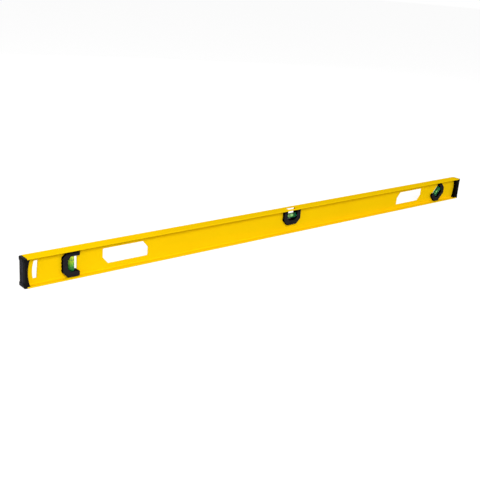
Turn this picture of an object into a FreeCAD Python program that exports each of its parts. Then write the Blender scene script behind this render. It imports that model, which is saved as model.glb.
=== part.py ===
"""A 1219 mm aluminium I-beam spirit level with three vials in clamped plastic frames.

Frame: millimetres, +X along the level to its 45 degree vial, front face towards -Y,
+Z up, origin under the middle of the level on its bottom measuring face.
"""
import FreeCAD, Part
import math
import os

Vector = FreeCAD.Vector

# The whole level
level_length = 1219.0
beam_height = 53.0
beam_width = 22.0

# The beam's section
web_thickness = 2.0
flange_thickness = 2.6
flange_edge_radius = 0.7
web_root_radius = 1.5

# The end caps: a plate over the beam's end and a wing on each side of the web
cap_plate_thickness = 5.5
cap_plate_inset = 0.5
cap_plate_edge_radius = 1.4
cap_band_height = 6.5
cap_recess_depth = 1.5
cap_wing_inset = 1.0
cap_wing_reach = 5.2
cap_wing_middle_reach = 1.0
right_wing_extra_reach = 5.0
cap_clearance = 0.1

# The hand holds, as far from one end of the level as from the other
hand_hold_distance = 151.5
hand_hold_length = 95.6
hand_hold_height = 29.6
hand_hold_slant_length = 11.6
hand_hold_slant_height = 13.0
hand_hold_corner_radius = 2.4
hand_hold_rise = 0.4

# The hang slot, straight on one side, bowed like the cap's wing on the other, and leaning
hang_slot_distance = 18.2
hang_slot_width = 9.2
hang_slot_height = 31.4
hang_slot_bow = 2.2
hang_slot_lean = 2.2
hang_slot_corner_radius = 0.8
hang_slot_rise = 1.3

# The frame that holds each vial: a spine with two arms, in a front and a rear half
frame_width = 32.1
frame_face_height = 7.0
frame_arm_width = 9.9
frame_spine_width = 9.3
frame_rim = 2.5
frame_mouth_rim = 2.8
frame_tip_chamfer = 2.0
frame_inner_tip_chamfer = 1.5
frame_inner_corner_chamfer = 6.0
frame_face_chamfer = 0.6
frame_seat_clearance = 0.1
frame_window_clearance = 0.15
vial_axis_depth = 18.2

# The grip ribs along each spine
rib_count = 4
rib_radius = 2.4
rib_height = 0.8

# The pegs of each front half in the sockets of its rear half
peg_radius = 1.2
peg_length = 4.0
peg_clearance = 0.06
peg_end_clearance = 0.2
spine_peg_spacing = 12.0

# The vials
vial_radius = 5.5
vial_wall = 1.5
vial_end_wall = 3.5
vial_end_cover = 4.3
vial_plug_length = 3.5
vial_bore_crown = 0.35
vial_pocket_clearance = 0.05
ring_gap = 12.4
ring_width = 0.8
ring_depth = 0.3

# The air bubbles: the level vial's lies under the top of its bore, the others on the axis
level_bubble_length = 11.6
level_bubble_diameter = 3.8
level_bubble_film = 0.3
end_bubble_length = 9.0
end_bubble_diameter = 5.6
bubble_clearance = 0.12
bubble_end_film = 0.5

# Where the three vials sit along the level
level_vial_offset = 1.2
plumb_vial_distance = 89.8
angle_vial_distance = 85.3
angle_vial_tilt = 45.0
plumb_vial_tilt = 90.0

# The sight slot in the top flange, over the level vial
sight_slot_length = 28.0
sight_slot_width = 14.0
sight_slot_corner_radius = 0.8

# How far every cutting solid runs past the face that it cuts
overrun = 2.0

# How far from 1 the cosine of two parallel directions may come out
parallel_tolerance = 1e-6

# Places and sizes that follow from the values above
half_length = level_length / 2
half_width = beam_width / 2
half_web = web_thickness / 2
beam_length = level_length - 2 * cap_plate_thickness
flange_top = beam_height - flange_thickness
clear_height = flange_top - flange_thickness
middle_height = beam_height / 2
root_cut = web_root_radius + cap_clearance

frame_length = clear_height - 2 * frame_seat_clearance
frame_half_length = frame_length / 2
frame_window_half = frame_half_length - frame_arm_width
frame_mouth = frame_width - vial_axis_depth
spine_face = -vial_axis_depth
spine_inner = frame_spine_width - vial_axis_depth

vial_half_length = frame_half_length - vial_end_cover
liquid_start = vial_end_wall - vial_half_length
liquid_end = vial_half_length - vial_plug_length
bore_end_radius = vial_radius - vial_wall
bore_middle_radius = bore_end_radius + vial_bore_crown
level_bubble_rise = bore_end_radius - level_bubble_film - level_bubble_diameter / 2

diagonal = math.sqrt(2)
# The spine's corners are cut so that a frame turned by 45 degrees fits between the flanges
frame_corner_cut = (
    frame_length + frame_width - frame_tip_chamfer - diagonal * (clear_height - 2 * frame_seat_clearance)
)
angle_frame_drop = (frame_half_length - frame_corner_cut + vial_axis_depth) / diagonal

level_vial_place = Vector(level_vial_offset, 0, flange_top - frame_seat_clearance - frame_mouth)
plumb_vial_place = Vector(plumb_vial_distance - half_length, 0, middle_height)
angle_vial_place = Vector(
    half_length - angle_vial_distance, 0, flange_thickness + frame_seat_clearance + angle_frame_drop
)


def box(x_low, x_high, y_low, y_high, z_low, z_high):
    """A box between two corners."""
    size = Vector(x_high - x_low, y_high - y_low, z_high - z_low)
    return Part.makeBox(size.x, size.y, size.z, Vector(x_low, y_low, z_low))


def side_prism(points, y_low, y_high):
    """A prism along Y over an outline of (x, z) points."""
    corners = [Vector(x, y_low, z) for x, z in points]
    face = Part.Face(Part.makePolygon(corners + [corners[0]]))
    return face.extrude(Vector(0, y_high - y_low, 0))


def rounded(solid, radius, is_edge):
    """The solid with every edge that is_edge picks filleted."""
    return solid.makeFillet(radius, [edge for edge in solid.Edges if is_edge(edge)])


def runs_along(edge, axis):
    """Whether a straight edge lies along an axis."""
    if not isinstance(edge.Curve, Part.Line):
        return False
    direction = edge.Curve.Direction
    return abs(abs(direction.dot(axis)) - 1) < parallel_tolerance


def bore_cylinder(radius, start, end):
    """A cylinder along X, the axis of a vial in its own frame."""
    return Part.makeCylinder(radius, end - start, Vector(start, 0, 0), Vector(1, 0, 0))


# The beam


def beam_blank():
    """The plain I-section bar with rounded flange edges and web roots."""
    end = beam_length / 2
    low_flange = box(-end, end, -half_width, half_width, 0, flange_thickness)
    top_flange = box(-end, end, -half_width, half_width, flange_top, beam_height)
    web = box(-end, end, -half_web, half_web, 0, beam_height)
    bar = low_flange.fuse([web, top_flange]).removeSplitter()

    def along(edge):
        return runs_along(edge, Vector(1, 0, 0))

    def at_root(edge):
        return along(edge) and abs(edge.CenterOfMass.y) < half_width / 2

    def at_rim(edge):
        return along(edge) and not at_root(edge)

    bar = rounded(bar, web_root_radius, at_root)
    return rounded(bar, flange_edge_radius, at_rim)


def hand_hold_cutter():
    """The left hand hold's cutter: a long window with two opposite corners slanted."""
    left = hand_hold_distance - half_length
    right = left + hand_hold_length
    low = middle_height + hand_hold_rise - hand_hold_height / 2
    high = low + hand_hold_height
    outline = [
        (left, low + hand_hold_slant_height),
        (left + hand_hold_slant_length, low),
        (right, low),
        (right, high - hand_hold_slant_height),
        (right - hand_hold_slant_length, high),
        (left, high),
    ]
    reach = half_web + overrun
    cutter = side_prism(outline, -reach, reach)
    return rounded(cutter, hand_hold_corner_radius, lambda edge: runs_along(edge, Vector(0, 1, 0)))


def hang_slot_cutter():
    """The hang slot's cutter, with one bowed side towards the near end cap."""
    left = hang_slot_distance - half_length
    right = left + hang_slot_width
    shoulder = left + hang_slot_bow
    middle = middle_height + hang_slot_rise
    low = middle - hang_slot_height / 2
    high = middle + hang_slot_height / 2
    reach = half_web + overrun
    lean = hang_slot_lean / 2
    low_left = Vector(shoulder - lean, -reach, low)
    high_left = Vector(shoulder + lean, -reach, high)
    low_right = Vector(right - lean, -reach, low)
    high_right = Vector(right + lean, -reach, high)
    bow = Part.Arc(high_left, Vector(left, -reach, middle), low_left).toShape()
    sides = Part.makePolygon([low_left, low_right, high_right, high_left])
    cutter = Part.Face(Part.Wire([bow] + sides.Edges)).extrude(Vector(0, 2 * reach, 0))
    return rounded(cutter, hang_slot_corner_radius, lambda edge: runs_along(edge, Vector(0, 1, 0)))


def sight_slot_cutter():
    """The cutter of the sight slot, through the top flange and the web's edge below it."""
    left = level_vial_place.x - sight_slot_length / 2
    right = level_vial_place.x + sight_slot_length / 2
    side = sight_slot_width / 2
    low = level_vial_place.z + frame_mouth - frame_mouth_rim - overrun
    cutter = box(left, right, -side, side, low, beam_height + overrun)
    return rounded(cutter, sight_slot_corner_radius, lambda edge: runs_along(edge, Vector(0, 0, 1)))


def build_beam():
    """The beam with its hand holds, hang slot, sight slot and vial windows."""
    left_hold = hand_hold_cutter()
    right_hold = left_hold.mirror(Vector(0, 0, 0), Vector(1, 0, 0))
    reach = half_web + overrun
    window = side_prism(window_outline(0), -reach, reach)
    windows = [in_level_place(window), in_plumb_place(window), in_angle_place(window)]
    cutters = [left_hold, right_hold, hang_slot_cutter(), sight_slot_cutter()] + windows
    return beam_blank().cut(cutters)


# The end caps


def root_bars():
    """Triangular bars along the four web roots, cut from whatever reaches into them."""
    bars = []
    for side in (-1, 1):
        for level, rise in ((flange_thickness, 1), (flange_top, -1)):
            corners = [
                Vector(-half_length, side * half_web, level),
                Vector(-half_length, side * (half_web + root_cut), level),
                Vector(-half_length, side * half_web, level + rise * root_cut),
            ]
            face = Part.Face(Part.makePolygon(corners + [corners[0]]))
            bars.append(face.extrude(Vector(level_length, 0, 0)))
    return bars


def cap_plate():
    """The plate over the beam's left end, recessed between its top and bottom bands."""
    outer = -half_length
    inner = outer + cap_plate_thickness
    side = half_width - cap_plate_inset
    low = cap_plate_inset
    high = beam_height - cap_plate_inset
    plate = box(outer, inner, -side, side, low, high)

    def is_outer(edge):
        return edge.BoundBox.XMax < outer + cap_plate_thickness / 2

    plate = rounded(plate, cap_plate_edge_radius, is_outer)
    recess = box(
        outer - overrun,
        outer + cap_recess_depth,
        -side - overrun,
        side + overrun,
        low + cap_band_height,
        high - cap_band_height,
    )
    return plate.cut(recess)


def cap_wing(side, extra_reach):
    """One wing of a left cap, between the flanges, with its free edge bowed inwards."""
    root = cap_plate_thickness - half_length
    tip = root + cap_wing_reach + extra_reach
    middle = root + cap_wing_middle_reach + extra_reach
    low = flange_thickness + cap_clearance
    high = flange_top - cap_clearance
    near = half_web + cap_clearance
    far = half_width - cap_wing_inset
    start = root - cap_plate_thickness / 2
    low_tip = Vector(tip, 0, low)
    high_tip = Vector(tip, 0, high)
    bow = Part.Arc(low_tip, Vector(middle, 0, middle_height), high_tip).toShape()
    rest = Part.makePolygon([high_tip, Vector(start, 0, high), Vector(start, 0, low), low_tip])
    face = Part.Face(Part.Wire([bow] + rest.Edges))
    face.translate(Vector(0, side * near, 0))
    return face.extrude(Vector(0, side * (far - near), 0))


def build_cap(extra_reach):
    """An end cap in the left end's place: its plate and both wings in one moulding."""
    wings = [cap_wing(side, extra_reach) for side in (-1, 1)]
    cap = cap_plate().fuse(wings).removeSplitter()
    beam_end = cap_plate_thickness - half_length
    beam_room = box(beam_end, 0, -half_width, half_width, 0, beam_height)
    return cap.cut([bar.common(beam_room) for bar in root_bars()])


def build_left_cap():
    """The left end cap."""
    return build_cap(0)


def build_right_cap():
    """The right end cap, which faces the other way and has longer wings."""
    return build_cap(right_wing_extra_reach).mirror(Vector(0, 0, 0), Vector(1, 0, 0))


# The vial frames, in their own place: the vial's axis along X, the mouth towards +Z


def in_level_place(shape):
    """A shape of the level vial moved to the middle of the beam."""
    placed = shape.copy()
    placed.translate(level_vial_place)
    return placed


def in_plumb_place(shape):
    """A shape turned so that its vial stands upright, mouth towards the middle."""
    placed = shape.copy()
    placed.rotate(Vector(0, 0, 0), Vector(0, 1, 0), plumb_vial_tilt)
    placed.translate(plumb_vial_place)
    return placed


def in_angle_place(shape):
    """A shape turned so that its vial rises to the right at 45 degrees."""
    placed = shape.copy()
    placed.rotate(Vector(0, 0, 0), Vector(0, 1, 0), -angle_vial_tilt)
    placed.translate(angle_vial_place)
    return placed


def frame_outline():
    """The open C of a frame's face: spine below, arms up both sides, corners cut."""
    right = [
        (frame_half_length - frame_corner_cut, spine_face),
        (frame_half_length, spine_face + frame_corner_cut),
        (frame_half_length, frame_mouth - frame_tip_chamfer),
        (frame_half_length - frame_tip_chamfer, frame_mouth),
        (frame_window_half + frame_inner_tip_chamfer, frame_mouth),
        (frame_window_half, frame_mouth - frame_inner_tip_chamfer),
        (frame_window_half, spine_inner + frame_inner_corner_chamfer),
        (frame_window_half - frame_inner_corner_chamfer, spine_inner),
    ]
    left = [(-x, z) for x, z in reversed(right)]
    return right + left


def window_outline(clearance):
    """The web's window for a frame, or with a clearance the boss that fills it."""
    half = frame_half_length - frame_rim - clearance
    low = spine_face + frame_rim + clearance
    high = frame_mouth - frame_mouth_rim - clearance
    cut = frame_corner_cut - (frame_rim + clearance) * (2 - diagonal)
    return [
        (-half, high),
        (-half, low + cut),
        (cut - half, low),
        (half - cut, low),
        (half, low + cut),
        (half, high),
    ]


def frame_shell():
    """The front half's outside part, which lies on the web's front face."""
    shell = side_prism(frame_outline(), -frame_face_height, -half_web)

    def on_face(edge):
        return edge.BoundBox.YMax < frame_face_chamfer / 2 - frame_face_height

    return shell.makeChamfer(frame_face_chamfer, [edge for edge in shell.Edges if on_face(edge)])


def grip_ribs():
    """The row of round ribs along the spine's outer side."""
    spine_length = frame_length - 2 * frame_corner_cut
    pitch = spine_length / rib_count
    near = half_web
    far = frame_face_height - frame_face_chamfer
    depth = spine_face - rib_height + rib_radius
    ribs = []
    for index in range(rib_count):
        start = Vector(pitch * (index - (rib_count - 1) / 2), -far, depth)
        ribs.append(Part.makeCylinder(rib_radius, far - near, start, Vector(0, 1, 0)))
    return ribs


def peg_places():
    """The (x, z) places of the four pegs: two in the arms and two in the spine."""
    boss_end = frame_half_length - frame_rim
    boss_top = frame_mouth - frame_mouth_rim
    boss_low = spine_face + frame_rim
    arm_x = (frame_window_half + boss_end) / 2
    arm_z = (vial_radius + boss_top) / 2
    spine_z = (boss_low + spine_inner) / 2
    spine_x = spine_peg_spacing / 2
    return [(-arm_x, arm_z), (arm_x, arm_z), (-spine_x, spine_z), (spine_x, spine_z)]


def frame_half():
    """One half of a frame, without pegs: shell, ribs and the boss inside the window."""
    outline = side_prism(frame_outline(), -half_web, 0)
    boss = outline.common(side_prism(window_outline(frame_window_clearance), -half_web, 0))
    half = frame_shell().fuse([boss] + grip_ribs()).removeSplitter()
    pocket_half = vial_half_length + vial_pocket_clearance
    pocket = bore_cylinder(vial_radius + vial_pocket_clearance, -pocket_half, pocket_half)
    return half.cut(pocket)


def build_front_half():
    """The front half of a frame, with four pegs that reach through the window."""
    pegs = []
    for x, z in peg_places():
        start = Vector(x, -half_web, z)
        pegs.append(Part.makeCylinder(peg_radius, half_web + peg_length, start, Vector(0, 1, 0)))
    return frame_half().fuse(pegs).removeSplitter()


def build_rear_half():
    """The rear half of a frame, with a socket for each peg."""
    rear = frame_half().mirror(Vector(0, 0, 0), Vector(0, 1, 0))
    radius = peg_radius + peg_clearance
    length = overrun + peg_length + peg_end_clearance
    sockets = []
    for x, z in peg_places():
        sockets.append(Part.makeCylinder(radius, length, Vector(x, -overrun, z), Vector(0, 1, 0)))
    return rear.cut(sockets)


# The vials, in the same place


def bore_solid(start, end):
    """The inside of a vial between two places, widest in the middle like a barrel."""
    left = Vector(start, 0, 0)
    right = Vector(end, 0, 0)
    left_rim = Vector(start, 0, bore_end_radius)
    right_rim = Vector(end, 0, bore_end_radius)
    crown = Part.Arc(left_rim, Vector((start + end) / 2, 0, bore_middle_radius), right_rim).toShape()
    rest = Part.makePolygon([right_rim, right, left, left_rim])
    profile = Part.Face(Part.Wire([crown] + rest.Edges))
    return profile.revolve(Vector(0, 0, 0), Vector(1, 0, 0), 360)


def ring_places():
    """The start along X of each of the two reading rings."""
    return [-ring_gap / 2 - ring_width, ring_gap / 2]


def build_vial_body():
    """A clear barrel, closed at one end and open at the other, grooved for its rings."""
    body = bore_cylinder(vial_radius, -vial_half_length, vial_half_length)
    plug_seat = bore_cylinder(bore_end_radius, liquid_end, vial_half_length + overrun)
    grooves = []
    for start in ring_places():
        around = bore_cylinder(vial_radius + overrun, start, start + ring_width)
        grooves.append(around.cut(bore_cylinder(vial_radius - ring_depth, start, start + ring_width)))
    return body.cut([bore_solid(liquid_start, liquid_end), plug_seat] + grooves)


def build_vial_rings():
    """Both reading rings, which fill their grooves in the vial's outside."""
    rings = []
    for start in ring_places():
        around = bore_cylinder(vial_radius, start, start + ring_width)
        rings.append(around.cut(bore_cylinder(vial_radius - ring_depth, start, start + ring_width)))
    return Part.makeCompound(rings)


def build_vial_plug():
    """The plug that closes the vial's open end."""
    return bore_cylinder(bore_end_radius, liquid_end, vial_half_length)


def capsule(length, diameter, middle):
    """A round-ended slug along X with its middle at a place."""
    radius = diameter / 2
    reach = length / 2 - radius
    barrel = bore_cylinder(radius, -reach, reach)
    ends = [Part.makeSphere(radius, Vector(side * reach, 0, 0)) for side in (-1, 1)]
    slug = barrel.fuse(ends)
    slug.translate(middle)
    return slug


def level_bubble():
    """The level vial's bubble, in the middle under the top of the bore."""
    return capsule(level_bubble_length, level_bubble_diameter, Vector(0, 0, level_bubble_rise))


def level_bubble_room():
    """The room that the level bubble moves in, from one end of the bore to the other."""
    length = liquid_end - liquid_start - 2 * (bubble_end_film - bubble_clearance)
    diameter = level_bubble_diameter + 2 * bubble_clearance
    return capsule(length, diameter, Vector(0, 0, level_bubble_rise))


def end_bubble(end):
    """A bubble that rests at one end of its bore: end is -1 or 1."""
    place = liquid_end - bubble_end_film - end_bubble_length / 2
    return capsule(end_bubble_length, end_bubble_diameter, Vector(end * place, 0, 0))


def end_bubble_room():
    """The room that an end bubble moves in, from one end of the bore to the other."""
    length = liquid_end - liquid_start - 2 * (bubble_end_film - bubble_clearance)
    diameter = end_bubble_diameter + 2 * bubble_clearance
    return capsule(length, diameter, Vector(0, 0, 0))


def build_liquid(bubble_room):
    """The coloured liquid: all of the bore but the room that the bubble moves in."""
    return bore_solid(liquid_start, liquid_end).cut(bubble_room)


def vial_set(prefix, place, bubble, bubble_room):
    """Every piece of one vial and its frame, moved to its place on the beam."""
    bars = root_bars()
    pieces = {
        prefix + "_frame_front": place(build_front_half()).cut(bars),
        prefix + "_frame_rear": place(build_rear_half()).cut(bars),
        prefix + "_vial_body": place(build_vial_body()),
        prefix + "_vial_plug": place(build_vial_plug()),
        prefix + "_vial_rings": place(build_vial_rings()),
        prefix + "_vial_liquid": place(build_liquid(bubble_room)),
        prefix + "_vial_bubble": place(bubble),
    }
    return pieces


def build_level():
    """Every piece of the level by its node's name."""
    pieces = {
        "beam": build_beam(),
        "left_end_cap": build_left_cap(),
        "right_end_cap": build_right_cap(),
    }
    pieces.update(vial_set("level", in_level_place, level_bubble(), level_bubble_room()))
    pieces.update(vial_set("plumb", in_plumb_place, end_bubble(-1), end_bubble_room()))
    pieces.update(vial_set("angle", in_angle_place, end_bubble(1), end_bubble_room()))
    return pieces


def main():
    """Write each piece to its own STEP file and print its size."""
    os.makedirs("parts", exist_ok=True)
    for name, shape in build_level().items():
        shape.exportStep(os.path.join("parts", name + ".step"))
        extent = shape.BoundBox
        print(
            f"{name}: {len(shape.Solids)} solid(s), {shape.Volume:.1f} mm3,"
            f" x {extent.XMin:.2f}..{extent.XMax:.2f},"
            f" y {extent.YMin:.2f}..{extent.YMax:.2f},"
            f" z {extent.ZMin:.2f}..{extent.ZMax:.2f}, valid {shape.isValid()}"
        )


main()
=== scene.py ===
"""The looks of a long painted I-beam spirit level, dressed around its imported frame.

Lengths are metres in the frame's own axes: +X along the level to its 45 degree vial,
the front face towards -Y, +Z up, the origin under the middle of the level.
"""
import logging
import math
from dataclasses import dataclass, field
from enum import Enum

import bpy
from mathutils import Matrix, Vector

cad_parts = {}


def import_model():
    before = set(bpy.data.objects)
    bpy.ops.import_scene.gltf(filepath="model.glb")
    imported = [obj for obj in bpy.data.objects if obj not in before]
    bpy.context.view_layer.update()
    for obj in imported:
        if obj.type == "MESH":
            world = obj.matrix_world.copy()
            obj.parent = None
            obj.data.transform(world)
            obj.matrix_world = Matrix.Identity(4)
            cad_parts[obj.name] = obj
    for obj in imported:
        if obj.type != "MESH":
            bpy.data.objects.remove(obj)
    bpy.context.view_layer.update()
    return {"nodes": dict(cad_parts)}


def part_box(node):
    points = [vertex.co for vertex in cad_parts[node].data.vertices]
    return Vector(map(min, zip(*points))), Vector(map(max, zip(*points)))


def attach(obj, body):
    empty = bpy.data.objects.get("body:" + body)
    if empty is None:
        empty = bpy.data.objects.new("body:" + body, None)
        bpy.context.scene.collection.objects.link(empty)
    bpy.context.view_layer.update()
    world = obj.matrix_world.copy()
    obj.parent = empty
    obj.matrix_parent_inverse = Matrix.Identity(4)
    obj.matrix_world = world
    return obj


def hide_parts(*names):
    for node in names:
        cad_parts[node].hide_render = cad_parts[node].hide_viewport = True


LOG = logging.getLogger("spirit_level")
MM = 0.001

Colour = tuple[float, float, float]
Place = tuple[float, float, float]
Value = bpy.types.NodeSocket | float | int | bool | tuple | bpy.types.Material

WHITE: Colour = (1.0, 1.0, 1.0)


class VialPlace(Enum):
    """The three vials, each with its turn about +Y from lying along the level."""

    LEVEL = ("level", 0.0)
    PLUMB = ("plumb", 90.0)
    ANGLE = ("angle", -45.0)

    def __init__(self, prefix: str, tilt: float) -> None:
        """Keep the name that its nodes start with and its turn, which is given in degrees."""
        self.prefix = prefix
        self.tilt = math.radians(tilt)


class Grain(Enum):
    """How coarse a moulded surface is, as grains per metre."""

    FINE = 2600.0
    COARSE = 1300.0


class Axis(Enum):
    """The frame's axes, by their place in a vector."""

    ALONG = 0
    ACROSS = 1
    UP = 2


class NodeBench:
    """Short ways to add, feed and join the nodes of one tree."""

    def __init__(self, tree: bpy.types.NodeTree) -> None:
        """Work on a tree."""
        self.tree = tree

    def add(
        self, kind: str, inputs: dict[str | int, Value] | None = None, **settings: object
    ) -> bpy.types.Node:
        """Add a node.

        Args:
            kind: The node's type name.
            inputs: A value, or a socket to link from, for each input's name or number.
            settings: The node's own properties.

        Returns:
            The new node.
        """
        node = self.tree.nodes.new(kind)
        for name, value in settings.items():
            setattr(node, name, value)
        for key, value in (inputs or {}).items():
            if isinstance(value, bpy.types.NodeSocket):
                self.tree.links.new(value, node.inputs[key])
            else:
                node.inputs[key].default_value = value
        return node

    def math(self, operation: str, *values: Value, clamp: bool = False) -> bpy.types.NodeSocket:
        """Work out one sum from numbers and sockets.

        Args:
            operation: The math node's operation.
            values: What it works on, in order.
            clamp: Whether the result is kept between 0 and 1.

        Returns:
            The socket that carries the result.
        """
        node = self.add("ShaderNodeMath", dict(enumerate(values)), operation=operation, use_clamp=clamp)
        return node.outputs[0]


class ShaderBench(NodeBench):
    """A new material and the nodes that its finish needs."""

    def __init__(self, name: str) -> None:
        """Start an empty material with that name."""
        self.material = bpy.data.materials.new(name)
        self.material.use_nodes = True
        super().__init__(self.material.node_tree)
        self.tree.nodes.clear()
        self.place = self.add("ShaderNodeTexCoord").outputs["Object"]

    def stretched(self, scale: Place) -> bpy.types.NodeSocket:
        """The place on the object, scaled along each axis."""
        return self.add("ShaderNodeMapping", {"Vector": self.place, "Scale": scale}).outputs["Vector"]

    def noise(self, scale: float, detail: float = 2.0, place: bpy.types.NodeSocket | None = None) -> Value:
        """Soft noise.

        Args:
            scale: Its cells per metre.
            detail: How many finer layers it has.
            place: Where it is read, the place on the object if none is given.

        Returns:
            The socket that carries its strength, from 0 to 1.
        """
        inputs = {"Vector": place or self.place, "Scale": scale, "Detail": detail}
        return self.add("ShaderNodeTexNoise", inputs).outputs["Fac"]

    def place_along(self, axis: Axis) -> bpy.types.NodeSocket:
        """The place on the object along one axis, in metres."""
        return self.add("ShaderNodeSeparateXYZ", {0: self.place}).outputs[axis.value]

    def spread(
        self, share: Value, low: float, high: float, to_low: float = 0.0, to_high: float = 1.0
    ) -> Value:
        """A number stretched from one range to another and held inside it.

        Args:
            share: The number.
            low: Where its range starts, which may be above its end.
            high: Where its range ends.
            to_low: What the start becomes.
            to_high: What the end becomes.

        Returns:
            The socket that carries the stretched number.
        """
        inputs = {"Value": share, "From Min": low, "From Max": high, "To Min": to_low, "To Max": to_high}
        return self.add("ShaderNodeMapRange", inputs, clamp=True).outputs["Result"]

    def blend(self, share: Value, first: Value, second: Value) -> Value:
        """A colour between two colours.

        Args:
            share: 0 for the first colour, 1 for the second.
            first: A colour, or the socket that carries it.
            second: The other colour, or its socket.

        Returns:
            The socket that carries the colour between them.
        """
        node = self.add("ShaderNodeMix", data_type="RGBA")
        for socket, value in ((node.inputs[0], share), (node.inputs[6], first), (node.inputs[7], second)):
            if isinstance(value, bpy.types.NodeSocket):
                self.tree.links.new(value, socket)
            elif isinstance(value, tuple):
                socket.default_value = (*value, 1.0)
            else:
                socket.default_value = value
        return node.outputs[2]

    def bumps(self, layers: list[tuple[Value, float]]) -> Value:
        """Stack bump layers on each other.

        Args:
            layers: A height from 0 to 1 and its depth in metres, for each layer.

        Returns:
            The socket that carries the bumped normal.
        """
        normal = None
        for height, depth in layers:
            inputs = {"Height": height, "Distance": depth, "Strength": 1.0}
            if normal is not None:
                inputs["Normal"] = normal
            normal = self.add("ShaderNodeBump", inputs).outputs["Normal"]
        return normal

    def finish(self, inputs: dict[str, Value]) -> bpy.types.Material:
        """End the material in one surface shader with these inputs."""
        surface = self.add("ShaderNodeBsdfPrincipled", inputs)
        self.add("ShaderNodeOutputMaterial", {"Surface": surface.outputs[0]})
        return self.material


class ShapeBench(NodeBench):
    """A geometry tree with named sizes, from which finished meshes are made."""

    def __init__(self, name: str) -> None:
        """Start an empty tree with that name."""
        super().__init__(bpy.data.node_groups.new(name, "GeometryNodeTree"))
        self.tree.interface.new_socket("Shape", in_out="OUTPUT", socket_type="NodeSocketGeometry")
        self.entry = self.add("NodeGroupInput")
        self.keys: dict[str, str] = {}
        self.coat = self.named("Finish", "NodeSocketMaterial")

    def named(self, name: str, kind: str = "NodeSocketFloat") -> bpy.types.NodeSocket:
        """Add a named input.

        Args:
            name: Its name.
            kind: Its socket's type name.

        Returns:
            The socket that carries it.
        """
        item = self.tree.interface.new_socket(name, in_out="INPUT", socket_type=kind)
        self.keys[name] = item.identifier
        return self.entry.outputs[name]

    def joined(self, x: Value, y: Value, z: Value) -> bpy.types.NodeSocket:
        """A vector from three numbers."""
        return self.add("ShaderNodeCombineXYZ", {0: x, 1: y, 2: z}).outputs[0]

    def close(self, shape: bpy.types.NodeSocket) -> None:
        """End the tree: smooth shading, real instances and the finish.

        Args:
            shape: The socket that carries the finished shape.
        """
        smooth = self.add("GeometryNodeSetShadeSmooth", {"Geometry": shape}).outputs["Geometry"]
        real = self.add("GeometryNodeRealizeInstances", {"Geometry": smooth}).outputs["Geometry"]
        inputs = {"Geometry": real, "Material": self.coat}
        coated = self.add("GeometryNodeSetMaterial", inputs).outputs["Geometry"]
        self.add("NodeGroupOutput", {"Shape": coated})

    def make(
        self, name: str, sizes: dict[str, float], coat: bpy.types.Material, place: Matrix
    ) -> bpy.types.Object:
        """Make one plain mesh object.

        Args:
            name: The piece's name.
            sizes: A value for each of the tree's named sizes.
            coat: The finish of the piece.
            place: Where the piece stands in the frame.

        Returns:
            The object, at the origin, with its place in its mesh.
        """
        piece = bpy.data.objects.new(name, bpy.data.meshes.new(name))
        bpy.context.scene.collection.objects.link(piece)
        modifier = piece.modifiers.new("shape", "NODES")
        modifier.node_group = self.tree
        for key, value in {**sizes, "Finish": coat}.items():
            modifier[self.keys[key]] = value
        ready = piece.evaluated_get(bpy.context.evaluated_depsgraph_get())
        mesh = bpy.data.meshes.new_from_object(ready)
        piece.modifiers.clear()
        piece.data = mesh
        mesh.transform(place)
        mesh.update()
        return piece


@dataclass(frozen=True)
class PowderCoat:
    """Yellow powder coat with a faint orange peel over the extrusion's drawn lines."""

    colour: Colour = (0.945, 0.613, 0.002)
    thick_colour: Colour = (0.925, 0.592, 0.002)
    sheen_share: float = 0.15
    gloss: float = 0.0
    low_roughness: float = 0.38
    high_roughness: float = 0.50
    patch_scale: float = 9.0
    patch_share: float = 0.7
    noise_low: float = 0.35
    noise_high: float = 0.65
    peel_scale: float = 650.0
    peel_depth: float = 0.012 * MM
    line_scale: Place = (3.0, 900.0, 900.0)
    line_depth: float = 0.003 * MM

    def material(self) -> bpy.types.Material:
        """Build the finish.

        Returns:
            The new material.
        """
        bench = ShaderBench("yellow_powder_coat")
        patches = bench.noise(self.patch_scale)
        peel = bench.noise(self.peel_scale, 1.0)
        lines = bench.noise(1.0, 2.0, bench.stretched(self.line_scale))
        peel_part = bench.math("MULTIPLY", peel, 1.0 - self.patch_share)
        tone = bench.math("MULTIPLY_ADD", patches, self.patch_share, peel_part)
        thickness = bench.spread(tone, self.noise_low, self.noise_high)
        roughness = bench.spread(
            patches, self.noise_low, self.noise_high, self.low_roughness, self.high_roughness
        )
        return bench.finish(
            {
                "Base Color": bench.blend(thickness, self.colour, self.thick_colour),
                "Metallic": self.sheen_share,
                "Roughness": roughness,
                "Specular IOR Level": self.gloss,
                "Specular Tint": (*self.colour, 1.0),
                "Normal": bench.bumps([(peel, self.peel_depth), (lines, self.line_depth)]),
            }
        )


@dataclass(frozen=True)
class LitPanel:
    """The paler, lit panel of an outer face: behind the place `front`, below the height `top`. In front of
    it and above it the face is darkened as painted shade.

    It fades over the last `fade` metres. A front place beyond the part leaves the panel
    whole there.
    """

    front: float
    top: float
    fade: float

    def share(self, bench: ShaderBench) -> Value:
        """How much of the panel shows.

        Args:
            bench: The material that it is worked out in.

        Returns:
            The socket that carries it, from 1 on the panel to 0 in the painted shade beyond it.
        """
        behind = bench.spread(bench.place_along(Axis.ACROSS), self.front - self.fade, self.front)
        below = bench.spread(bench.place_along(Axis.UP), self.top, self.top - self.fade)
        return bench.math("MULTIPLY", behind, below)


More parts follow.
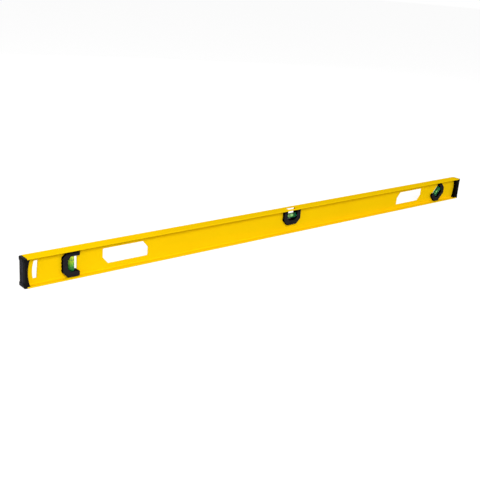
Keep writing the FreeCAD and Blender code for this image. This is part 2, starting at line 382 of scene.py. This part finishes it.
@dataclass(frozen=True)
class MouldedPlastic:
    """Black moulding, paler and mottled on its flat outer face, and near black elsewhere: black plastic
    darkened further as painted shade in its recesses.

    The outer face lies across the axis `face_axis`, `face_start` to `face_full` metres out
    from the middle of the level, and only its lit panel is paler; around that panel the face too is
    darkened as painted shade.
    """

    name: str
    face_colour: Colour
    face_axis: Axis
    face_start: float
    face_full: float
    grain: Grain
    panel: LitPanel
    mottle_share: float
    # Near black off the outer face: black plastic, darkened further as painted shade.
    colour: Colour = (0.0018, 0.0016, 0.0017)
    gloss: float = 0.015
    low_roughness: float = 0.44
    high_roughness: float = 0.58
    grain_depth: float = 0.02 * MM
    grain_detail: float = 3.0
    mottle_scale: float = 450.0
    mottle_detail: float = 5.0
    mottle_weight: float = 0.6
    mottle_low: float = 0.38
    mottle_high: float = 0.62
    flow_scale: float = 60.0
    flow_low: float = 0.3
    flow_high: float = 0.7

    def material(self) -> bpy.types.Material:
        """Build the finish.

        Returns:
            The new material.
        """
        bench = ShaderBench(self.name)
        grain = bench.noise(self.grain.value, self.grain_detail)
        mottle = bench.noise(self.mottle_scale, self.mottle_detail)
        flow = bench.noise(self.flow_scale, 1.0)
        out = bench.math("ABSOLUTE", bench.place_along(self.face_axis))
        flow_part = bench.math("MULTIPLY", flow, 1.0 - self.mottle_weight)
        tone = bench.math("MULTIPLY_ADD", mottle, self.mottle_weight, flow_part)
        dull = tuple((1.0 - self.mottle_share) * part for part in self.face_colour)
        bright = tuple((1.0 + self.mottle_share) * part for part in self.face_colour)
        face = bench.blend(bench.spread(tone, self.mottle_low, self.mottle_high), dull, bright)
        # Off the outer face and outside its lit panel the colour falls to near black: painted shade.
        reached = bench.spread(out, self.face_start, self.face_full)
        shown = bench.math("MULTIPLY", reached, self.panel.share(bench))
        roughness = bench.spread(
            flow, self.flow_low, self.flow_high, self.low_roughness, self.high_roughness
        )
        return bench.finish(
            {
                "Base Color": bench.blend(shown, self.colour, face),
                "Roughness": roughness,
                "Specular IOR Level": self.gloss,
                "Normal": bench.bumps([(grain, self.grain_depth)]),
            }
        )


@dataclass(frozen=True)
class ClearAcrylic:
    """The clear barrel of a vial, very slightly uneven where the plastic flowed."""

    colour: Colour = (0.95, 1.0, 0.93)
    roughness: float = 0.0
    refraction: float = 1.08
    gloss: float = 0.15
    flow_scale: float = 60.0
    flow_depth: float = 0.003 * MM

    def material(self) -> bpy.types.Material:
        """Build the finish.

        Returns:
            The new material.
        """
        bench = ShaderBench("clear_acrylic")
        flow = bench.noise(self.flow_scale, 1.0)
        return bench.finish(
            {
                "Base Color": bench.blend(flow, self.colour, WHITE),
                "Roughness": self.roughness,
                "IOR": self.refraction,
                "Specular IOR Level": self.gloss,
                "Transmission Weight": 1.0,
                "Normal": bench.bumps([(flow, self.flow_depth)]),
            }
        )


@dataclass(frozen=True)
class Stop:
    """A height in the frame and the colour there."""

    height: float
    colour: Colour


@dataclass(frozen=True)
class PaintedLightFading:
    """A colour that changes with height, through two or more stops from low to high: painted light and
    shade in the liquids and bubbles.
    """

    stops: tuple[Stop, ...]
    swirl_scale: float = 90.0
    swirl_low: float = 0.3
    swirl_high: float = 0.7
    swirl_share: float = 0.05

    def colour_of(self, bench: ShaderBench) -> Value:
        """The colour at each place, stirred by a slow swirl.

        Args:
            bench: The material that it is worked out in.

        Returns:
            The socket that carries the colour.
        """
        low, high = self.stops[0].height, self.stops[-1].height
        rise = bench.spread(bench.place_along(Axis.UP), low, high)
        swirl = bench.spread(
            bench.noise(self.swirl_scale, 1.0),
            self.swirl_low,
            self.swirl_high,
            -self.swirl_share,
            self.swirl_share,
        )
        ramp = bench.add("ShaderNodeValToRGB", {0: bench.math("ADD", rise, swirl, clamp=True)})
        elements = ramp.color_ramp.elements
        for number, stop in enumerate(self.stops):
            place = (stop.height - low) / (high - low)
            element = elements[number] if number < len(elements) else elements.new(place)
            element.position = place
            element.color = (*stop.colour, 1.0)
        return ramp.outputs["Color"]


@dataclass(frozen=True)
class PaintedLightPatch:
    """A soft patch in the liquid, long along its vial: a painted highlight when its colour is pale, painted
    shade when it is dark.
    """

    middle: Place
    reach: Place
    tilt: float
    colour: Colour
    core_share: float = 0.4

    def share(self, bench: ShaderBench) -> Value:
        """How much of the patch's colour shows.

        Args:
            bench: The material that it is worked out in.

        Returns:
            The socket that carries it, from 1 in the core to 0 outside.
        """
        inputs = {
            "Vector": bench.place,
            "Location": self.middle,
            "Rotation": (0.0, self.tilt, 0.0),
            "Scale": self.reach,
        }
        inside = bench.add("ShaderNodeMapping", inputs, vector_type="TEXTURE").outputs["Vector"]
        far = bench.add("ShaderNodeVectorMath", {0: inside}, operation="LENGTH").outputs["Value"]
        return bench.spread(far, 1.0, self.core_share)


@dataclass(frozen=True)
class GreenSpirit:
    """The tinted liquid in one vial: clear, with painted light and shade in its colour, which fades with
    height and carries painted highlight and shade patches.
    """

    name: str
    light_fading: PaintedLightFading
    patches: tuple[PaintedLightPatch, ...] = ()
    clearness: float = 0.35

    def material(self) -> bpy.types.Material:
        """Build the finish.

        Returns:
            The new material.
        """
        bench = ShaderBench(self.name)
        colour = self.light_fading.colour_of(bench)
        # Lay each patch's painted highlight and painted shade over the fade.
        for light_patch in self.patches:
            colour = bench.blend(light_patch.share(bench), colour, light_patch.colour)
        return bench.finish(
            {
                "Base Color": colour,
                "Roughness": 0.0,
                "IOR": 1.0,
                "Specular IOR Level": 0.0,
                "Transmission Weight": self.clearness,
            }
        )


@dataclass(frozen=True)
class BubbleAir:
    """The skin of an air bubble, green like the liquid around it, with painted light and shade in bands by
    height.
    """

    name: str
    light_fading: PaintedLightFading
    gloss: float = 0.1
    roughness: float = 0.12

    def material(self) -> bpy.types.Material:
        """Build the finish.

        Returns:
            The new material.
        """
        bench = ShaderBench(self.name)
        return bench.finish(
            {
                "Base Color": self.light_fading.colour_of(bench),
                "Roughness": self.roughness,
                "Specular IOR Level": self.gloss,
            }
        )


@dataclass(frozen=True)
class RingInk:
    """Dark ink that fills the reading rings' grooves."""

    colour: Colour = (0.014, 0.09, 0.024)
    dry_colour: Colour = (0.028, 0.18, 0.048)
    dry_scale: float = 3000.0
    dry_low: float = 0.3
    dry_high: float = 0.7
    low_roughness: float = 0.35
    high_roughness: float = 0.55

    def material(self) -> bpy.types.Material:
        """Build the finish.

        Returns:
            The new material.
        """
        bench = ShaderBench("ring_ink")
        dry = bench.noise(self.dry_scale, 1.0)
        roughness = bench.spread(dry, self.dry_low, self.dry_high, self.low_roughness, self.high_roughness)
        return bench.finish(
            {
                "Base Color": bench.blend(dry, self.colour, self.dry_colour),
                "Roughness": roughness,
            }
        )


@dataclass
class Beam:
    """The painted I-beam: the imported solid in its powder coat."""

    node: str = "beam"
    coat: PowderCoat = field(default_factory=PowderCoat)

    def dress(self, nodes: dict[str, bpy.types.Object]) -> None:
        """Give the beam its paint."""
        coat_node(nodes, self.node, self.coat.material())


@dataclass
class EndCaps:
    """The two moulded caps over the beam's ends."""

    face_colour: Colour = (0.0235, 0.0235, 0.030)
    face_start: float = 606.3 * MM
    face_full: float = 607.3 * MM
    mottle_share: float = 0.55
    # Painted light and shade off the end face: the left cap lighter, the right cap near black in shadow.
    left_lit_rim: Colour = (0.0085, 0.0080, 0.0085)
    right_shaded_rim: Colour = (0.0008, 0.0008, 0.0008)
    # Painted shade: the end face goes near black in front of y = -2.6 mm, for a rounded front edge turned
    # from the light, and above 51.6 mm, the top band that gets no light.
    panel: LitPanel = LitPanel(front=-2.6 * MM, top=51.6 * MM, fade=1.0 * MM)

    def dress(self, nodes: dict[str, bpy.types.Object]) -> None:
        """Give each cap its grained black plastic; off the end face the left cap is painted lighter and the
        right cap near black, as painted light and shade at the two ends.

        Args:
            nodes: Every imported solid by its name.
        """
        for side, painted_rim_tone in (("left", self.left_lit_rim), ("right", self.right_shaded_rim)):
            moulding = MouldedPlastic(
                name=f"{side}_cap_moulding",
                face_colour=self.face_colour,
                face_axis=Axis.ALONG,
                face_start=self.face_start,
                face_full=self.face_full,
                grain=Grain.COARSE,
                panel=self.panel,
                mottle_share=self.mottle_share,
                colour=painted_rim_tone,
            )
            coat_node(nodes, f"{side}_end_cap", moulding.material())


@dataclass
class VialFinishes:
    """The finishes that all three vials and their frames share."""

    frame: bpy.types.Material
    acrylic: bpy.types.Material
    ink: bpy.types.Material

    @classmethod
    def standard(cls) -> "VialFinishes":
        """Build every finish once.

        Returns:
            The finishes.
        """
        return cls(
            frame=MouldedPlastic(
                name="frame_moulding",
                face_colour=(0.0200, 0.0188, 0.0212),
                face_axis=Axis.ACROSS,
                face_start=6.2 * MM,
                face_full=6.9 * MM,
                grain=Grain.FINE,
                # Painted shadow: the frame's face darkens above 48.5 mm, where the top flange shades it;
                # the front bound lies beyond the face and cuts nothing.
                panel=LitPanel(front=-10.0 * MM, top=48.5 * MM, fade=6.0 * MM),
                mottle_share=0.22,
                gloss=0.001,
            ).material(),
            acrylic=ClearAcrylic().material(),
            ink=RingInk().material(),
        )


def coat_node(nodes: dict[str, bpy.types.Object], name: str, material: bpy.types.Material) -> None:
    """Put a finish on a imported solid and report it.

    Args:
        nodes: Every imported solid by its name.
        name: The solid's name.
        material: The finish that takes every slot.
    """
    mesh = nodes[name].data
    for index in range(len(mesh.materials)):
        mesh.materials[index] = material
    LOG.info("coated %s with %s", name, material.name)


def barrel_bench(around: int = 56, lengthwise: int = 48) -> ShapeBench:
    """The tree of a filled bore: a round barrel along X, widest in its middle.

    Args:
        around: How many points go round it.
        lengthwise: How many steps it has along its length.

    Returns:
        The bench with the sizes Half Length, End Radius, Crown and Edge.
    """
    bench = ShapeBench("filled_bore")
    half, end_radius, crown, edge = (
        bench.named(name) for name in ("Half Length", "End Radius", "Crown", "Edge")
    )
    inputs = {"Vertices": around, "Side Segments": lengthwise, "Radius": 1.0, "Depth": 2.0}
    tube = bench.add("GeometryNodeMeshCylinder", inputs).outputs["Mesh"]
    position = bench.add("GeometryNodeInputPosition").outputs[0]
    part = bench.add("ShaderNodeSeparateXYZ", {0: position}).outputs
    share = bench.math("SINE", bench.math("MULTIPLY", part[2], math.pi / 2))
    swell = bench.math("MULTIPLY", crown, bench.math("SUBTRACT", 1.0, bench.math("MULTIPLY", share, share)))
    along = bench.math("MULTIPLY", share, half)
    into_edge = bench.math("ADD", bench.math("SUBTRACT", bench.math("ABSOLUTE", along), half), edge)
    turn = bench.math("MINIMUM", bench.math("MAXIMUM", bench.math("DIVIDE", into_edge, edge), 0.0), 1.0)
    rounding = bench.math("SQRT", bench.math("SUBTRACT", 1.0, bench.math("MULTIPLY", turn, turn)))
    drop = bench.math("MULTIPLY", edge, bench.math("SUBTRACT", 1.0, rounding))
    radius = bench.math("SUBTRACT", bench.math("ADD", end_radius, swell), drop)
    across = bench.math("MULTIPLY", part[0], radius)
    up = bench.math("MULTIPLY", part[1], radius)
    inputs = {"Geometry": tube, "Position": bench.joined(along, across, up)}
    bench.close(bench.add("GeometryNodeSetPosition", inputs).outputs["Geometry"])
    return bench


def bubble_bench(around: int = 64, lengthwise: int = 48) -> ShapeBench:
    """The tree of an air bubble: a squared-off egg along X, flat below on the liquid.

    Args:
        around: How many points go round it.
        lengthwise: How many steps it has from end to end.

    Returns:
        The bench with the sizes Length, Radius, Lowest and Fullness.
    """
    bench = ShapeBench("air_bubble")
    length, radius, lowest, fullness = (
        bench.named(name) for name in ("Length", "Radius", "Lowest", "Fullness")
    )
    inputs = {"Segments": around, "Rings": lengthwise, "Radius": 1.0}
    ball = bench.add("GeometryNodeMeshUVSphere", inputs).outputs["Mesh"]
    position = bench.add("GeometryNodeInputPosition").outputs[0]
    part = bench.add("ShaderNodeSeparateXYZ", {0: position}).outputs
    square = bench.math("MULTIPLY", part[0], part[0])
    from_axis = bench.math("SQRT", bench.math("MULTIPLY_ADD", part[1], part[1], square))
    along_power = bench.math("POWER", bench.math("ABSOLUTE", part[2]), fullness)
    total = bench.math("ADD", along_power, bench.math("POWER", from_axis, fullness))
    stretch = bench.math("POWER", total, bench.math("DIVIDE", -1.0, fullness))
    half_length = bench.math("DIVIDE", length, 2.0)
    along = bench.math("MULTIPLY", bench.math("MULTIPLY", part[2], stretch), half_length)
    across = bench.math("MULTIPLY", bench.math("MULTIPLY", part[1], stretch), radius)
    up = bench.math("MULTIPLY", bench.math("MULTIPLY", part[0], stretch), radius)
    spot = bench.joined(along, across, bench.math("MAXIMUM", up, lowest))
    inputs = {"Geometry": ball, "Position": spot}
    bench.close(bench.add("GeometryNodeSetPosition", inputs).outputs["Geometry"])
    return bench


@dataclass(frozen=True)
class VialLook:
    """What sets one vial apart: its liquid's and its bubble's colours, painted light and shade by height,
    and the liquid's painted highlight and shade patches.
    """

    spirit: PaintedLightFading
    air: PaintedLightFading
    patches: tuple[PaintedLightPatch, ...] = ()


@dataclass
class Vial:
    """One vial: its clamped frame, barrel, plug, rings, liquid and moving bubble."""

    place: VialPlace
    look: VialLook
    barrel_radius: float = 5.49 * MM
    barrel_half_length: float = 19.5 * MM
    barrel_edge: float = 0.3 * MM
    liquid_half_length: float = 16.0 * MM
    liquid_end_radius: float = 4.97 * MM
    liquid_crown: float = 0.13 * MM
    liquid_edge: float = 0.4 * MM
    bubble_radius: float = 5.18 * MM
    level_bubble_length: float = 12.4 * MM
    level_bubble_lowest: float = -1.4 * MM
    end_bubble_length: float = 9.0 * MM
    bubble_fullness: float = 5.0

    def node(self, part: str) -> str:
        """The full name of one of this vial's nodes."""
        return f"{self.place.prefix}_{part}"

    def turned_to(self, part: str) -> Matrix:
        """The place at the middle of one of this vial's nodes, turned as the vial is."""
        low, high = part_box(self.node(part))
        return Matrix.Translation((low + high) / 2) @ Matrix.Rotation(self.place.tilt, 4, "Y")

    def dress(self, nodes: dict[str, bpy.types.Object], finishes: VialFinishes) -> None:
        """Give each kept solid its finish.

        Args:
            nodes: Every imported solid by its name.
            finishes: The finishes that the vials share.
        """
        for part, material in (
            ("frame_front", finishes.frame),
            ("frame_rear", finishes.frame),
            ("vial_plug", finishes.frame),
            ("vial_rings", finishes.ink),
        ):
            coat_node(nodes, self.node(part), material)

    def close_barrel(self, bench: ShapeBench, finishes: VialFinishes) -> bpy.types.Object:
        """Make the clear barrel as one skin, and put it in place of its solid.

        Args:
            bench: The filled bore's tree.
            finishes: The finishes that the vials share.

        Returns:
            The barrel.
        """
        sizes = {
            "Half Length": self.barrel_half_length,
            "End Radius": self.barrel_radius,
            "Crown": 0.0,
            "Edge": self.barrel_edge,
        }
        piece = bench.make(self.node("barrel"), sizes, finishes.acrylic, self.turned_to("vial_body"))
        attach(piece, "level")
        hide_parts(self.node("vial_body"))
        return piece

    def fill(self, bench: ShapeBench) -> bpy.types.Object:
        """Make the liquid as wide as the barrel shows it, and put it in place of its solid.

        Args:
            bench: The filled bore's tree.

        Returns:
            The liquid.
        """
        sizes = {
            "Half Length": self.liquid_half_length,
            "End Radius": self.liquid_end_radius,
            "Crown": self.liquid_crown,
            "Edge": self.liquid_edge,
        }
        coat = GreenSpirit(self.node("green_spirit"), self.look.spirit, self.look.patches).material()
        piece = bench.make(self.node("spirit"), sizes, coat, self.turned_to("vial_body"))
        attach(piece, "level")
        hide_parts(self.node("vial_liquid"))
        return piece

    def float_bubble(self, bench: ShapeBench) -> bpy.types.Object:
        """Make the bubble, and put it in place of its solid on its own body.

        Args:
            bench: The bubble's tree.

        Returns:
            The bubble.
        """
        lies_level = self.place is VialPlace.LEVEL
        sizes = {
            "Length": self.level_bubble_length if lies_level else self.end_bubble_length,
            "Radius": self.bubble_radius,
            "Lowest": self.level_bubble_lowest if lies_level else -self.bubble_radius,
            "Fullness": self.bubble_fullness,
        }
        coat = BubbleAir(self.node("bubble_air"), self.look.air).material()
        middle = "vial_body" if lies_level else "vial_bubble"
        piece = bench.make(self.node("air"), sizes, coat, self.turned_to(middle))
        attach(piece, self.node("bubble"))
        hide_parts(self.node("vial_bubble"))
        return piece


LEVEL_LOOK = VialLook(
    # Painted shade: the liquid darker towards its foot.
    spirit=PaintedLightFading(
        (
            Stop(31.0 * MM, (0.0, 0.07, 0.025)),
            Stop(37.0 * MM, (0.003, 0.13, 0.045)),
            Stop(42.0 * MM, (0.006, 0.13, 0.06)),
        )
    ),
    # Painted light and shade: the bubble's bright band about 39 mm up, dark at its top and foot.
    air=PaintedLightFading(
        (
            Stop(34.6 * MM, (0.03, 0.18, 0.03)),
            Stop(36.9 * MM, (0.16, 0.48, 0.12)),
            Stop(38.9 * MM, (0.42, 0.80, 0.28)),
            Stop(40.6 * MM, (0.26, 0.55, 0.22)),
            Stop(41.6 * MM, (0.01, 0.09, 0.05)),
        )
    ),
    patches=(
        # Painted highlight: a pale patch left of the middle, fixed in the liquid, so it stays when the
        # bubble moves.
        PaintedLightPatch(
            middle=(-7.5 * MM, -5.0 * MM, 38.2 * MM),
            reach=(8.0 * MM, 8.0 * MM, 4.6 * MM),
            tilt=VialPlace.LEVEL.tilt,
            colour=(0.38, 0.72, 0.24),
        ),
    ),
)

PLUMB_LOOK = VialLook(
    # Painted light and shade: the liquid near black at its foot, pale yellow-green towards its top.
    spirit=PaintedLightFading(
        (
            Stop(11.0 * MM, (0.0, 0.05, 0.018)),
            Stop(14.5 * MM, (0.004, 0.20, 0.06)),
            Stop(23.0 * MM, (0.16, 0.53, 0.06)),
            Stop(32.0 * MM, (0.52, 0.76, 0.055)),
        )
    ),
    # Painted highlight: the bubble palest at its top.
    air=PaintedLightFading(
        (
            Stop(33.0 * MM, (0.46, 0.66, 0.045)),
            Stop(37.0 * MM, (0.48, 0.68, 0.04)),
            Stop(40.0 * MM, (0.72, 0.86, 0.06)),
        )
    ),
)

ANGLE_LOOK = VialLook(
    # Painted shade: liquid and bubble a dark green, a shade lighter higher up.
    spirit=PaintedLightFading((Stop(10.0 * MM, (0.0, 0.14, 0.05)), Stop(38.0 * MM, (0.001, 0.16, 0.055)))),
    air=PaintedLightFading((Stop(28.0 * MM, (0.005, 0.14, 0.05)), Stop(38.0 * MM, (0.014, 0.17, 0.07)))),
    patches=(
        # Painted highlight: a pale strip along the vial's middle.
        PaintedLightPatch(
            middle=(520.0 * MM, -5.2 * MM, 25.9 * MM),
            reach=(10.5 * MM, 7.0 * MM, 2.7 * MM),
            tilt=VialPlace.ANGLE.tilt,
            colour=(0.22, 0.62, 0.20),
        ),
        # Painted shade: a near black strip along the vial's lower right side.
        PaintedLightPatch(
            middle=(522.9 * MM, -3.9 * MM, 20.3 * MM),
            reach=(14.0 * MM, 3.2 * MM, 3.2 * MM),
            tilt=VialPlace.ANGLE.tilt,
            colour=(0.0, 0.012, 0.003),
        ),
    ),
)

LOOKS = {VialPlace.LEVEL: LEVEL_LOOK, VialPlace.PLUMB: PLUMB_LOOK, VialPlace.ANGLE: ANGLE_LOOK}


@dataclass(frozen=True)
class Lamp:
    """A square soft lamp aimed at the frame's origin, under the middle of the level."""

    name: str
    place: Place
    size: float
    watts: float

    def hang(self) -> None:
        """Hang the lamp, which doesn't show through the clear barrels."""
        data = bpy.data.lights.new(self.name, "AREA")
        data.size = self.size
        data.energy = self.watts
        lamp = bpy.data.objects.new(self.name, data)
        lamp.location = self.place
        lamp.visible_transmission = False
        lamp.rotation_euler = (-Vector(self.place)).to_track_quat("-Z", "Y").to_euler()
        bpy.context.scene.collection.objects.link(lamp)


@dataclass
class Studio:
    """The floor, lights and camera around the level."""

    floor_size: float = 60.0
    floor_drop: float = 0.2 * MM
    floor_albedo: float = 0.4
    floor_glow: float = 0.82
    shadow_share: float = 0.35
    sky_strength: float = 0.41
    lamps: tuple[Lamp, ...] = (
        Lamp("front_lamp", place=(-1.4, -2.9, 2.25), size=1.6, watts=111.0),
        Lamp("end_lamp", place=(-3.5, -0.8, 0.8), size=1.2, watts=30.0),
        Lamp("rear_lamp", place=(0.9, 3.0, 0.45), size=1.6, watts=36.0),
    )
    camera_place: Place = (-1.10975, -1.09039, 0.50636)
    camera_yaw: float = math.radians(41.724)
    camera_pitch: float = math.radians(18.983)
    camera_roll: float = math.radians(4.441)
    camera_lens: float = 56.885
    camera_sensor: float = 36.0

    def seen_straight(self, bench: NodeBench) -> bpy.types.NodeSocket:
        """Whether a ray comes from the camera, a mirror or through glass.

        Args:
            bench: The tree that asks.

        Returns:
            The socket that carries 1 for such a ray and 0 for any other.
        """
        path = bench.add("ShaderNodeLightPath").outputs
        mirrored = bench.math("MAXIMUM", path["Is Glossy Ray"], path["Is Transmission Ray"])
        return bench.math("MAXIMUM", path["Is Camera Ray"], mirrored)

    def lay_floor(self) -> bpy.types.Object:
        """Lay a pale floor that shows white but for the level's soft shadow.

        Returns:
            The floor.
        """
        bench = ShaderBench("pale_floor")
        plain, soft = (self.floor_albedo,) * 3, (self.shadow_share,) * 3
        lit = bench.add("ShaderNodeBsdfDiffuse", {"Color": (*plain, 1.0)})
        shaded = bench.add("ShaderNodeBsdfDiffuse", {"Color": (*soft, 1.0)})
        glow = bench.add("ShaderNodeEmission", {"Strength": self.floor_glow})
        shown = bench.add("ShaderNodeAddShader", {0: shaded.outputs[0], 1: glow.outputs[0]})
        inputs = {0: self.seen_straight(bench), 1: lit.outputs[0], 2: shown.outputs[0]}
        mixed = bench.add("ShaderNodeMixShader", inputs)
        bench.add("ShaderNodeOutputMaterial", {"Surface": mixed.outputs[0]})
        half = self.floor_size / 2
        corners = [(x * half, y * half, -self.floor_drop) for x, y in ((-1, -1), (1, -1), (1, 1), (-1, 1))]
        mesh = bpy.data.meshes.new("floor")
        mesh.from_pydata(corners, [], [(0, 1, 2, 3)])
        mesh.materials.append(bench.material)
        floor = bpy.data.objects.new("floor", mesh)
        bpy.context.scene.collection.objects.link(floor)
        return floor

    def light(self) -> None:
        """Light the level with wide soft lamps and an even sky, dimmer than the white that it shows."""
        world = bpy.data.worlds.new("white_sky")
        world.use_nodes = True
        world.node_tree.nodes.clear()
        bench = NodeBench(world.node_tree)
        extra = 1.0 - self.sky_strength
        strength = bench.math("MULTIPLY_ADD", self.seen_straight(bench), extra, self.sky_strength)
        sky = bench.add("ShaderNodeBackground", {"Color": (*WHITE, 1.0), "Strength": strength})
        bench.add("ShaderNodeOutputWorld", {"Surface": sky.outputs[0]})
        bpy.context.scene.world = world
        for lamp in self.lamps:
            lamp.hang()

    def place_camera(self) -> bpy.types.Object:
        """Stand the camera where the photograph was taken from.

        Returns:
            The camera.
        """
        yaw, pitch, roll = self.camera_yaw, self.camera_pitch, self.camera_roll
        across = Vector((math.cos(yaw), -math.sin(yaw), 0.0))
        forward = Vector(
            (math.sin(yaw) * math.cos(pitch), math.cos(yaw) * math.cos(pitch), -math.sin(pitch))
        )
        upward = across.cross(forward)
        right = math.cos(roll) * across + math.sin(roll) * upward
        up = math.cos(roll) * upward - math.sin(roll) * across
        turn = Matrix((right, up, -forward)).transposed().to_4x4()
        data = bpy.data.cameras.new("camera")
        data.lens = self.camera_lens
        data.sensor_width = self.camera_sensor
        camera = bpy.data.objects.new("camera", data)
        camera.matrix_world = Matrix.Translation(self.camera_place) @ turn
        bpy.context.scene.collection.objects.link(camera)
        bpy.context.scene.camera = camera
        bpy.context.scene.view_settings.view_transform = "Standard"
        return camera


def main() -> None:
    """Dress the level, piece by piece, and set it in its studio."""
    logging.basicConfig(level=logging.INFO, format="%(name)s: %(message)s")
    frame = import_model()
    nodes = frame["nodes"]
    Beam().dress(nodes)
    EndCaps().dress(nodes)
    finishes = VialFinishes.standard()
    bore, bubble = barrel_bench(), bubble_bench()
    for place in VialPlace:
        vial = Vial(place, LOOKS[place])
        vial.dress(nodes, finishes)
        for piece in (vial.close_barrel(bore, finishes), vial.fill(bore), vial.float_bubble(bubble)):
            LOG.info("made %s with %d points", piece.name, len(piece.data.vertices))
    studio = Studio()
    studio.lay_floor()
    studio.light()
    studio.place_camera()


if __name__ == "__main__":
    main()
